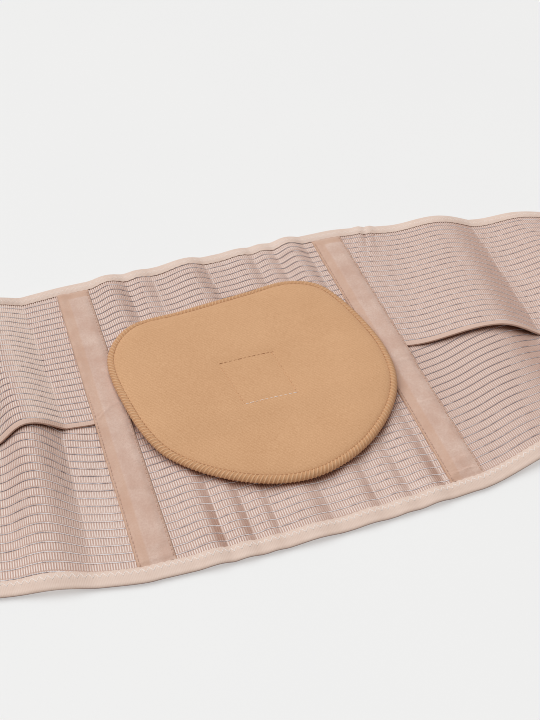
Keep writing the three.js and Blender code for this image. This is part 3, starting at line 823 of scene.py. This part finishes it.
# Painted contact shadow along the underside of the lower fold.
contact_share = add(tree, "ShaderNodeAttribute", attribute_name="contact_shadow").outputs["Fac"]
contact_shaded = add(tree, "ShaderNodeMix", {0: contact_share, 6: shaded, 7: linear("#84645A")}, data_type="RGBA")
relief = add(tree, "ShaderNodeBump", {"Height": rib_mask.outputs[0], "Strength": 0.3, "Distance": 0.15 * MM})
skin = add(tree, "ShaderNodeBsdfPrincipled",
           {"Base Color": contact_shaded.outputs[2], "Roughness": 0.62, "Normal": relief.outputs[0],
            "Sheen Weight": 0.2})
add(tree, "ShaderNodeOutputMaterial", {"Surface": skin.outputs[0]})

# Cream sewing thread, which stands out a little from the peach tape.
cream_thread = spun_thread("cream_thread", "#F0E2D9", "#FCF6F2", twist=1.8, roughness=0.5)


def top_edge_surface(x, y):
    return np.where(np.abs(x) < PANEL_HALF_WIDTH, panel_surface(x, y), upper_surface(x, y))


def bottom_edge_surface(x, y):
    return np.where(np.abs(x) < PANEL_HALF_WIDTH, panel_surface(x, y), lower_surface(x, y))


# The tape's section, from its edge on the upper face round the fold to its edge on the lower face: the
# distance in from the cloth's edge, the part on the fold, the share up or down from the cloth, the dip of the
# sewn edges, and the part near the fold that is drawn thin
flat_run = np.array([BINDING_COVER, 7.6, 6.6, 5, 3.4, 1.8, 0.6])
fold = np.radians(np.linspace(90, -90, 9))
inward = np.concatenate([flat_run, -np.cos(fold), flat_run[::-1]])
rolled = np.concatenate([np.zeros(7), np.ones(9), np.zeros(7)])
upright = np.concatenate([np.ones(7), np.sin(fold), -np.ones(7)])
lip = np.concatenate([[-1.1, -0.95, -0.6, -0.2], np.zeros(15), [-0.2, -0.6, -0.95, -1.1]])
thin = ease(-inward, -5.5, 0)
x = np.linspace(-BAND_END, BAND_END, BINDING_COLUMNS)

# How far the fold reaches past the cloth's edge, and the zigzag's thread, which sinks deeper into the top one
for node, outward, edge, surface, roll_reach, thread in (
    ("binding_top", 1, top_edge, top_edge_surface, 0.9, 0.25),
    ("binding_bottom", -1, bottom_edge, bottom_edge_surface, 2.2, 0.5),
):
    outer_in = np.where(rolled > 0, inward * roll_reach, inward)
    outer_up = CLOTH / 2 + upright * (CLOTH / 2 + BINDING_GAP + TAPE + lip - FOLD_THINNING * thin)
    tape_face = (flat_run[::-1], outer_up[6::-1])
    inner_in = np.where(rolled > 0, inward * 0.6, inward)
    inner_up = CLOTH / 2 + upright * (CLOTH / 2 + BINDING_GAP + np.maximum(lip, -0.42) - GAP_THINNING * thin)
    # Painted contact shadow: the lower half of the bottom binding's fold, where it meets the table.
    contact_shadow = ease(-upright, -0.45, -0.1) * rolled * (outward < 0)
    if outward < 0:
        outer_in, outer_up, inner_in, inner_up = (a[::-1] for a in (outer_in, outer_up, inner_in, inner_up))
        contact_shadow = contact_shadow[::-1]
    x_grid = np.repeat(x[:, None], len(inward), 1)
    scallop = SCALLOP * np.cos(x_grid / ZIGZAG_HALF_PERIOD * math.pi) * (outer_in > 7)
    over = above(surface, x_grid, edge(x_grid) - outward * (outer_in + scallop), outer_up)
    under = above(surface, x_grid, edge(x_grid) - outward * (inner_in + scallop), inner_up)
    along_fold = np.diff(over[:, len(inward) // 2], axis=0)
    run = np.concatenate([[0], np.cumsum(np.linalg.norm(along_fold, axis=-1))])
    round_fold = np.cumsum(np.concatenate([[0], np.hypot(np.diff(outer_in), np.diff(outer_up))]))
    flat = np.stack(np.broadcast_arrays(run[:, None], round_fold[None, :]), -1)
    binding = slab(node + "_tape", under, over, elastic, flat)
    mark(binding.data, "contact_shadow", np.tile(contact_shadow, 2 * len(x)))
    needle = np.arange(2, run[-1] - 2, ZIGZAG_HALF_PERIOD / 2)
    zig_x = np.interp(needle, run, x)
    zig_in = ZIGZAG_OUTER + (ZIGZAG_INNER - ZIGZAG_OUTER) * np.abs(np.arange(len(needle)) % 4 - 2) / 2
    zig_up = np.interp(zig_in, *tape_face)
    zigzag = above(surface, zig_x, edge(zig_x) - outward * zig_in, zig_up - ZIGZAG_SINK)
    back_zigzag = above(surface, zig_x, edge(zig_x) - outward * zig_in, CLOTH - zig_up + ZIGZAG_BACK_SINK)
    stitches = threads(node + "_zigzag", [zigzag, back_zigzag], thread, cream_thread)
    stitches.parent = binding
    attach(binding, "root")
    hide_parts(node)

# Lumbar pad and its hook patch
# The pad is a shield of foam laminated with tan jersey. Its rim is overlocked, which rolls it into a thin
# bead outside a needle line, and a sewn square near the middle holds the hook patch that grips the panel.
PAD_SEAT = 7.5
PAD_TOP_RISE = 1.2
PAD_RISE_REACH = 80
PAD_FRONT_DROOP = 1.5
PAD_DROOP_START = 28
PAD_DROOP_END = 50
PAD_CENTRE = np.array([1.0, -6.0])
PAD_OUTLINE = np.array([
    (19, 74.4), (48, 76.3), (67.5, 67.5), (79, 46), (88.5, -6), (80.5, -43), (46, -78.5), (5, -91.5),
    (-35.5, -79.7), (-73, -45.6), (-86, 2), (-85.5, 44.5), (-67, 66.2), (-30, 70.2),
], float)
# Inset from the rim and height over the underside: across the underside to the rim, over the bead and the
# needle line, and on to the middle of the face
PAD_UNDER = ((60, 0), (30, 0), (10, 0), (3, 0.05), (1.4, 0.35), (0.5, 1.0), (0.1, 1.7), (0, 2.3))
PAD_BEAD = (
    (0.15, 2.9), (0.6, 3.6), (1.3, 4.15), (2.1, 4.5), (3.0, 4.55), (3.7, 4.4), (4.3, 4.1), (4.9, 4.45),
    (5.8, 4.85), (7.2, 5.2), (10, 5.65),
)
PAD_CROWN = ((15, 6.05), (20, 6.25), (26, 6.32), (33, 6.36), (41, 6.4), (60, 6.4))
PAD_FACE = np.array(PAD_UNDER[-1:] + PAD_BEAD + PAD_CROWN)
FACE_RINGS = np.linspace(0.84, 0.02, 48)
FACE_INSET = 30
FOAM_UNEVEN = 0.12
RIM_POINTS = 260
STITCH_SINK = 0.1
SQUARE = np.array([(-20.0, 11.5), (15.7, 11.0), (19.2, -28.2), (-15.0, -27.5)])
SQUARE_DENT = 0.2
SQUARE_PITCH = 3.1
SQUARE_STITCH_LENGTH = 2.5
OVERLOCK_PITCH = 2.6
OVERLOCK_YARN = 1.5
# Inset and height of an overlock stitch on its way from the needle line round the rim
WRAP_SECTION = np.array([
    (4.1, 3.75), (3.0, 4.15), (2.0, 4.05), (1.1, 3.45), (0.4, 2.3), (0.7, 1.2), (1.8, 0.65), (3.2, 0.6),
])
NEEDLE_LINE = 4.3
NEEDLE_LEVEL = 4.0
NEEDLE_PITCH = 2.9
NEEDLE_STITCH = (2.3, 0.7, 0.35)
UPWARDS = (0, 0, 1)


def closed_curve(corners, count):
    """Evenly spaced points on a closed centripetal Catmull-Rom curve, anticlockwise."""
    found = []
    for i in range(len(corners)):
        p = [corners[(i + k) % len(corners)] for k in (-1, 0, 1, 2)]
        t = np.concatenate([[0], np.cumsum([np.linalg.norm(p[k + 1] - p[k]) ** 0.5 for k in range(3)])])
        at = np.linspace(t[1], t[2], 40, endpoint=False)[:, None]
        a = [(t[k + 1] - at) / (t[k + 1] - t[k]) * p[k] + (at - t[k]) / (t[k + 1] - t[k]) * p[k + 1]
             for k in range(3)]
        b = [(t[k + 2] - at) / (t[k + 2] - t[k]) * a[k] + (at - t[k]) / (t[k + 2] - t[k]) * a[k + 1]
             for k in range(2)]
        found.append((t[2] - at) / (t[2] - t[1]) * b[0] + (at - t[1]) / (t[2] - t[1]) * b[1])
    dense = np.concatenate(found)[::-1]
    dense = np.concatenate([dense, dense[:1]])
    run = np.concatenate([[0], np.cumsum(np.linalg.norm(np.diff(dense, axis=0), axis=-1))])
    at = np.linspace(0, run[-1], count, endpoint=False)
    return np.stack([np.interp(at, run, dense[:, k]) for k in (0, 1)], -1), run[-1]


def pad_underside(y):
    rise = PAD_TOP_RISE * (np.maximum(0, y) / PAD_RISE_REACH) ** 2
    return PAD_SEAT + rise - PAD_FRONT_DROOP * ease(-y, PAD_DROOP_START, PAD_DROOP_END)


def inset(rim, centre, distance):
    """Rim points moved towards a centre."""
    reach = np.linalg.norm(rim - centre, axis=-1, keepdims=True)
    return rim + (centre - rim) * np.minimum(distance / reach, 0.96)


def rings_round(outline, middle, section, level):
    """A ring of points inside an outline for each inset and height of a section."""
    return [np.column_stack([inset(outline, middle, distance), np.full(len(outline), level + height)])
            for distance, height in section]


def ringed(name, rings, material, flat=None):
    """A closed form from rings of points, the first round the middle of its underside."""
    points = np.concatenate([np.reshape(rings, (-1, 3)), [rings[0].mean(0), rings[-1].mean(0)]])
    count = len(rings[0])
    here = np.arange(count)
    following = np.roll(here, -1)
    faces = []
    for ring in range(len(rings) - 1):
        low, high = ring * count, (ring + 1) * count
        faces += np.stack([low + here, low + following, high + following, high + here], -1).tolist()
    under, over = len(points) - 2, len(points) - 1
    last = (len(rings) - 1) * count
    faces += np.stack([following, here, np.full(count, under)], -1).tolist()
    faces += np.stack([last + here, last + following, np.full(count, over)], -1).tolist()
    return new_piece(name, points, faces, material, points[:, :2] if flat is None else flat)


# Jersey laminate: tan with a fine slanting loop grain, and browner with painted shade on the rim outside the
# needle line, where it shows between the overlock stitches.
jersey, tree = bare_material("jersey_laminate")
place = add(tree, "ShaderNodeTexCoord").outputs["Object"]
loops = add(tree, "ShaderNodeTexNoise",
            {"Vector": place, "Scale": 1 / (0.8 * MM), "Detail": 3.0, "Roughness": 0.6})
faded = add(tree, "ShaderNodeTexNoise", {"Vector": place, "Scale": 1 / (35 * MM), "Detail": 3.0})
spot = add(tree, "ShaderNodeSeparateXYZ", {0: place})
slanted = add(tree, "ShaderNodeMath", {0: spot.outputs[1], 1: 0.7, 2: spot.outputs[0]},
              operation="MULTIPLY_ADD")
wale = add(tree, "ShaderNodeMath", {0: slanted.outputs[0], 1: 1.1 * MM}, operation="PINGPONG")
grain = add(tree, "ShaderNodeMath", {0: wale.outputs[0], 1: 0.13 / MM, 2: loops.outputs["Fac"]},
            operation="MULTIPLY_ADD")
blend = add(tree, "ShaderNodeMath", {0: faded.outputs["Fac"], 1: 0.3, 2: grain.outputs[0]},
            operation="MULTIPLY_ADD")
shade = add(tree, "ShaderNodeMapRange", {"Value": blend.outputs[0], 1: 0.45, 2: 1.0})
tint = add(tree, "ShaderNodeMix", {0: shade.outputs[0], 6: linear("#C8976C"), 7: linear("#E1B287")},
           data_type="RGBA")
cell = add(tree, "ShaderNodeSeparateXYZ", {0: add(tree, "ShaderNodeUVMap", uv_map="flat").outputs[0]})
# Painted shade on the rim outside the needle line, between the overlock stitches.
rim_shade = add(tree, "ShaderNodeMapRange", {"Value": cell.outputs[0], 1: 4.6, 2: 4.0, 4: 0.4})
rim_shaded = add(tree, "ShaderNodeMix", {0: rim_shade.outputs[0], 6: tint.outputs[2], 7: linear("#B27C50")},
             data_type="RGBA")
relief = add(tree, "ShaderNodeBump", {"Height": loops.outputs["Fac"], "Strength": 0.35, "Distance": 0.2 * MM})
skin = add(tree, "ShaderNodeBsdfPrincipled",
           {"Base Color": rim_shaded.outputs[2], "Roughness": 0.85, "Normal": relief.outputs[0],
            "Sheen Weight": 0.2, "Sheen Roughness": 0.4})
add(tree, "ShaderNodeOutputMaterial", {"Surface": skin.outputs[0]})

# Overlock thread: soft spun yarn, nearly the colour of the jersey, so only its rounds catch the light.
overlock_yarn = spun_thread("overlock_yarn", "#CC9A70", "#E3B98F", twist=2.5, roughness=0.7)
# Needle thread: the same yarn in browner colours, drawn tight and down into the foam.
needle_thread = spun_thread("needle_thread", "#9C6A45", "#C0906A", twist=2, roughness=0.8)

rim, rim_length = closed_curve(PAD_OUTLINE, RIM_POINTS)


def distance_to(points, a, b):
    """Distance of points from the straight run between a and b."""
    share = np.clip(((points - a) @ (b - a)) / np.dot(b - a, b - a), 0, 1)
    return np.linalg.norm(points - a - share[:, None] * (b - a), axis=-1)


def pad_face(points):
    """Height of the pad's upper face over places on it, with the dents of its needle line and sewn square."""
    away = np.min([distance_to(points, a, b) for a, b in zip(rim, np.roll(rim, -1, 0))], 0)
    face = pad_underside(points[:, 1]) + np.interp(away, *PAD_FACE.T)
    for a, b in zip(SQUARE, np.roll(SQUARE, -1, 0)):
        off = distance_to(points, a, b)
        face = face - SQUARE_DENT * (np.exp(-(off / 1.2) ** 2) + np.exp(-(off / 5) ** 2))
    x, y = points.T
    return face + FOAM_UNEVEN * np.sin(x / 13 + y / 21) * np.sin(y / 17 - x / 29) * ease(away, 5, 20)


def level_bars(name, places, ways, levels, size, material, spread):
    """Bars on a level face, with their places and directions in plan and the height of the face."""
    points = np.column_stack([places, np.broadcast_to(levels, len(places))])
    ways = np.column_stack([np.broadcast_to(ways, places.shape), np.zeros(len(places))])
    return bars(name, points, ways, UPWARDS, size, material, spread)


def ways_round(places):
    """Directions at the places of a closed line of stitches."""
    return np.roll(places, -1, 0) - np.roll(places, 1, 0)


pad_rings, from_rim = [], []
for distance, height in PAD_UNDER:
    ring = inset(rim, PAD_CENTRE, distance)
    pad_rings.append(np.column_stack([ring, pad_underside(ring[:, 1]) + height]))
    from_rim.append(distance)
for distance, _ in PAD_BEAD:
    ring = inset(rim, PAD_CENTRE, distance)
    pad_rings.append(np.column_stack([ring, pad_face(ring)]))
    from_rim.append(distance)
for share in FACE_RINGS:
    ring = PAD_CENTRE + (rim - PAD_CENTRE) * share
    pad_rings.append(np.column_stack([ring, pad_face(ring)]))
    from_rim.append(FACE_INSET)
from_rim = np.concatenate([np.repeat(from_rim, len(rim)), [FACE_INSET, FACE_INSET]])
pad = ringed("lumbar_pad_foam", pad_rings, jersey, np.column_stack([from_rim, from_rim]))

outer, _ = closed_curve(PAD_OUTLINE, round(rim_length / OVERLOCK_PITCH))
lean = np.linspace(1.0, -0.6, len(WRAP_SECTION))[:, None]
wraps = []
for spot, ahead in zip(outer, np.roll(outer, -1, 0) - outer):
    path = inset(spot + ahead * lean, PAD_CENTRE, WRAP_SECTION[:, :1])
    wraps.append(np.column_stack([path, pad_underside(path[:, 1]) + WRAP_SECTION[:, 1]]))
overlock = threads("lumbar_pad_overlock", wraps, OVERLOCK_YARN, overlock_yarn)

needle_rim, _ = closed_curve(PAD_OUTLINE, round(rim_length / NEEDLE_PITCH))
needle_place = inset(needle_rim, PAD_CENTRE, NEEDLE_LINE)
needle_height = pad_underside(needle_place[:, 1]) + NEEDLE_LEVEL
needle = level_bars("lumbar_pad_needle_line", needle_place, ways_round(needle_place), needle_height,
                    NEEDLE_STITCH, needle_thread, spread=0.1)

# Sides of the sewn square differ: the cream front is painted highlight, the brown back painted shade.
for name, sides, yarn, width in (
    ("front", (2,), cream_thread, 0.33),
    ("sides", (1, 3), overlock_yarn, 0.55),
    ("back", (0,), needle_thread, 0.3),
):
    spots, ways = [], []
    for i in sides:
        a, b = SQUARE[i], SQUARE[(i + 1) % 4]
        length = np.linalg.norm(b - a)
        shares = np.arange(0.5, length / SQUARE_PITCH)[:, None] * SQUARE_PITCH / length
        spots.append(a + shares * (b - a))
        ways.append(np.repeat((b - a)[None], len(shares), 0))
    spots, ways = np.concatenate(spots), np.concatenate(ways)
    stitches = level_bars("lumbar_pad_square_" + name, spots, ways, pad_face(spots) - STITCH_SINK,
                          (SQUARE_STITCH_LENGTH, width, 0.4), yarn, spread=0.2)
    stitches.parent = pad
for piece in (overlock, needle):
    piece.parent = pad
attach(pad, "root")
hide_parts("lumbar_pad")

# Moulded hook tape: a waxy off-white peach with a regular grain of hook stems. The patch keeps the solid that
# it has in the frame, because the pad hides it, and takes this material.
hook_tape, tree = bare_material("hook_tape")
place = add(tree, "ShaderNodeTexCoord").outputs["Object"]
stems = add(tree, "ShaderNodeTexVoronoi", {"Vector": place, "Scale": 1 / (1.6 * MM), "Randomness": 0.2})
shade = add(tree, "ShaderNodeMapRange", {"Value": stems.outputs["Distance"], 1: 0.1, 2: 0.6})
tint = add(tree, "ShaderNodeMix", {0: shade.outputs[0], 6: linear("#E8D6C9"), 7: linear("#CBB09F")},
           data_type="RGBA")
relief = add(tree, "ShaderNodeBump", {"Height": shade.outputs[0], "Strength": 0.6, "Distance": 0.4 * MM},
             invert=True)
skin = add(tree, "ShaderNodeBsdfPrincipled",
           {"Base Color": tint.outputs[2], "Roughness": 0.4, "Normal": relief.outputs[0]})
add(tree, "ShaderNodeOutputMaterial", {"Surface": skin.outputs[0]})
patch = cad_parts["pad_hook_patch"]
patch.data.materials.clear()
patch.data.materials.append(hook_tape)

# End panels
# Each end of the belt is a panel of brushed loop fabric on a thin foam, sewn under the ends of the two bands
# and stitched round its rolled edge. The hook closure grips the loops.
END_LENGTH = 116
END_INNER_HALF_HEIGHT = 72
END_OUTER_HALF_HEIGHT = 58
END_CORNER = 24
END_SECTION = (
    (30, 0), (1.2, 0), (0.3, 0.4), (0, 1.1), (0.2, 1.8), (0.8, 2.3), (2, 2.5), (3.2, 2.3), (4.5, 2.55),
    (30, END_THICKNESS),
)
OUTLINE_PITCH = 4.0
END_SEAM_INSET = 3.2
END_SEAM_LEVEL = 2.2
END_SEAM_PITCH = 2.6
END_STITCH = (2.0, 0.6, 0.4)
JOINT_INSET = 3.5
JOINT_PITCH = 3.2
JOINT_LOW = -50
JOINT_HIGH = 64
JOINT_STITCH = (2.4, 0.6, 0.4)

# Loop plush: a close brushed pile, paler on the tips of the loops.
plush, tree = bare_material("loop_plush")
place = add(tree, "ShaderNodeTexCoord").outputs["Object"]
pile = add(tree, "ShaderNodeTexNoise",
           {"Vector": place, "Scale": 1 / (1.4 * MM), "Detail": 5.0, "Roughness": 0.75})
brushed = add(tree, "ShaderNodeTexNoise", {"Vector": place, "Scale": 1 / (22 * MM), "Detail": 3.0})
blend = add(tree, "ShaderNodeMath", {0: pile.outputs["Fac"], 1: brushed.outputs["Fac"]}, operation="ADD")
shade = add(tree, "ShaderNodeMapRange", {"Value": blend.outputs[0], 1: 0.7, 2: 1.3})
tint = add(tree, "ShaderNodeMix", {0: shade.outputs[0], 6: linear("#C7A593"), 7: linear("#E2C9BA")},
           data_type="RGBA")
relief = add(tree, "ShaderNodeBump", {"Height": pile.outputs["Fac"], "Strength": 0.7, "Distance": 0.5 * MM})
skin = add(tree, "ShaderNodeBsdfPrincipled",
           {"Base Color": tint.outputs[2], "Roughness": 0.95, "Normal": relief.outputs[0],
            "Sheen Weight": 0.5, "Sheen Roughness": 0.5})
add(tree, "ShaderNodeOutputMaterial", {"Surface": skin.outputs[0]})


def spaced(corners, pitch):
    """Points along a closed outline of straight runs, about a pitch apart, with its corners kept."""
    found = []
    for a, b in zip(corners, np.roll(corners, -1, 0)):
        steps = max(1, round(np.linalg.norm(b - a) / pitch))
        found.append(a + (b - a) * np.linspace(0, 1, steps, endpoint=False)[:, None])
    return np.concatenate(found)


quarter = np.radians(np.linspace(0, 90, 9))
outer_curve = np.column_stack([
    END_LENGTH - END_CORNER + END_CORNER * np.sin(quarter),
    END_OUTER_HALF_HEIGHT - END_CORNER + END_CORNER * np.cos(quarter),
])
end_corners = np.concatenate([[(0, -END_INNER_HALF_HEIGHT)], (outer_curve * (1, -1)), outer_curve[::-1],
                              [(0, END_INNER_HALF_HEIGHT)]])
for side, node in ((-1, "end_panel_left"), (1, "end_panel_right")):
    outline = spaced(end_corners + (END_START, 0), OUTLINE_PITCH) * (side, 1)
    if side < 0:
        outline = outline[::-1]
    middle = np.array([side * (END_START + END_LENGTH / 2), 0.0])
    end_panel = ringed(node + "_plush", rings_round(outline, middle, END_SECTION, 0), plush)
    seam = inset(spaced(end_corners + (END_START, 0), END_SEAM_PITCH) * (side, 1), middle, END_SEAM_INSET)
    stitches = level_bars(node + "_seam", seam, ways_round(seam), END_SEAM_LEVEL, END_STITCH, seam_thread,
                          spread=0.1)
    joint_y = np.arange(JOINT_LOW, JOINT_HIGH, JOINT_PITCH)
    joint_x = np.full(len(joint_y), side * (BAND_END - JOINT_INSET))
    joint = bars(node + "_joint", above(upper_surface, joint_x, joint_y, CLOTH - STITCH_SINK), (0, 1, 0),
                 square_to(upper_surface, joint_x, joint_y), JOINT_STITCH, seam_thread, spread=0.1)
    for piece in (stitches, joint):
        piece.parent = end_panel
    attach(end_panel, "root")
    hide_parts(node)

# Hook closure
# A rounded rectangle of moulded hook tape is sewn round its edge on to the right end panel. Its stems stand
# in straight rows, ready to grip the loop fabric of the other end.
CLOSURE_LOW, CLOSURE_HIGH = (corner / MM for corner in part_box("hook_closure"))
CLOSURE_CORNER = 8
CLOSURE_SECTION = ((20, 0), (0.3, 0), (0, 0.3), (0.1, 0.7), (0.5, 0.9), (20, 0.9))
CLOSURE_SEAM_INSET = 2.2
CLOSURE_SEAM_PITCH = 3.0
CLOSURE_STITCH = (2.3, 0.6, 0.35)
HOOK_PITCH = 2.2
HOOK_MARGIN = 5
HOOK_HEIGHT = 0.9
HOOK_SINK = 0.05
HOOK_STEM = (1.1, 0.7, HOOK_HEIGHT + HOOK_SINK)
corner_arc = CLOSURE_CORNER * np.column_stack([np.cos(quarter), np.sin(quarter)])
half = np.array([(CLOSURE_HIGH.x - CLOSURE_LOW.x) / 2, (CLOSURE_HIGH.y - CLOSURE_LOW.y) / 2])
middle = np.array([(CLOSURE_HIGH.x + CLOSURE_LOW.x) / 2, (CLOSURE_HIGH.y + CLOSURE_LOW.y) / 2])
corner_middle = half - CLOSURE_CORNER
closure_corners = np.concatenate([
    corner_middle + corner_arc,
    (corner_middle + corner_arc[::-1]) * (-1, 1),
    (corner_middle + corner_arc) * (-1, -1),
    (corner_middle + corner_arc[::-1]) * (1, -1),
]) + middle
outline = spaced(closure_corners, OUTLINE_PITCH)
sewn_level = CLOSURE_HIGH.z - HOOK_HEIGHT - HOOK_SINK
closure = ringed("hook_closure_tape", rings_round(outline, middle, CLOSURE_SECTION, CLOSURE_LOW.z), hook_tape)
rows, columns = (np.arange(HOOK_MARGIN - reach, reach - HOOK_MARGIN + 0.5, HOOK_PITCH) for reach in half)
hook_place = np.stack(np.meshgrid(rows, columns), -1).reshape(-1, 2) + middle
hooks = level_bars("hook_closure_stems", hook_place, (1, 0), sewn_level, HOOK_STEM, hook_tape, spread=0.04)
seam = inset(spaced(closure_corners, CLOSURE_SEAM_PITCH), middle, CLOSURE_SEAM_INSET)
stitches = level_bars("hook_closure_seam", seam, ways_round(seam), sewn_level, CLOSURE_STITCH, cream_thread,
                      spread=0.1)
for piece in (hooks, stitches):
    piece.parent = closure
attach(closure, "root")
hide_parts("hook_closure")
